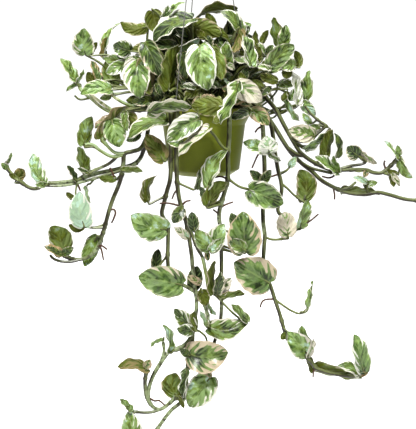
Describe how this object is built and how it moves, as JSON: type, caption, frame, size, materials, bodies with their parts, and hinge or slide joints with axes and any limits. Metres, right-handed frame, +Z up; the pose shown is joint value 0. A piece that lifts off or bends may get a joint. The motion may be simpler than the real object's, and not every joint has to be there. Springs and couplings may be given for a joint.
{
  "type": "hanging_potted_pothos",
  "caption": "Variegated pothos in an olive-green hanging pot, with a bushy crown, long trailing vines and a wire hanger with a hook",
  "frame": {"origin": "seat inside the hanger hook, where the whole plant hangs", "axes": "+Z up; -Y towards the side the picture shows; +X to its right"},
  "size_m": [0.7484, 0.2465, 1.0841],
  "materials": {
    "pot_plastic": "olive-green moulded plastic with a soft sheen",
    "potting_soil": "loose dark brown potting mix, matte",
    "hanger_steel": "thin galvanised steel wire",
    "pothos_leaf": "waxy green leaves with cream and white margins, satin gloss",
    "pothos_vine": "olive stems with waxy variegated leaves, satin gloss"
  },
  "bodies": {
    "root": {"pot": "pot_plastic", "soil": "potting_soil", "hanger_hook": "hanger_steel", "hanger_wire_front": "hanger_steel", "hanger_wire_right": "hanger_steel", "hanger_wire_back": "hanger_steel", "crown_foliage": "pothos_leaf", "vines_left": "pothos_vine", "vines_front_left": "pothos_vine", "vine_front": "pothos_vine", "vines_front_right": "pothos_vine", "vines_right": "pothos_vine"}
  },
  "joints": []
}
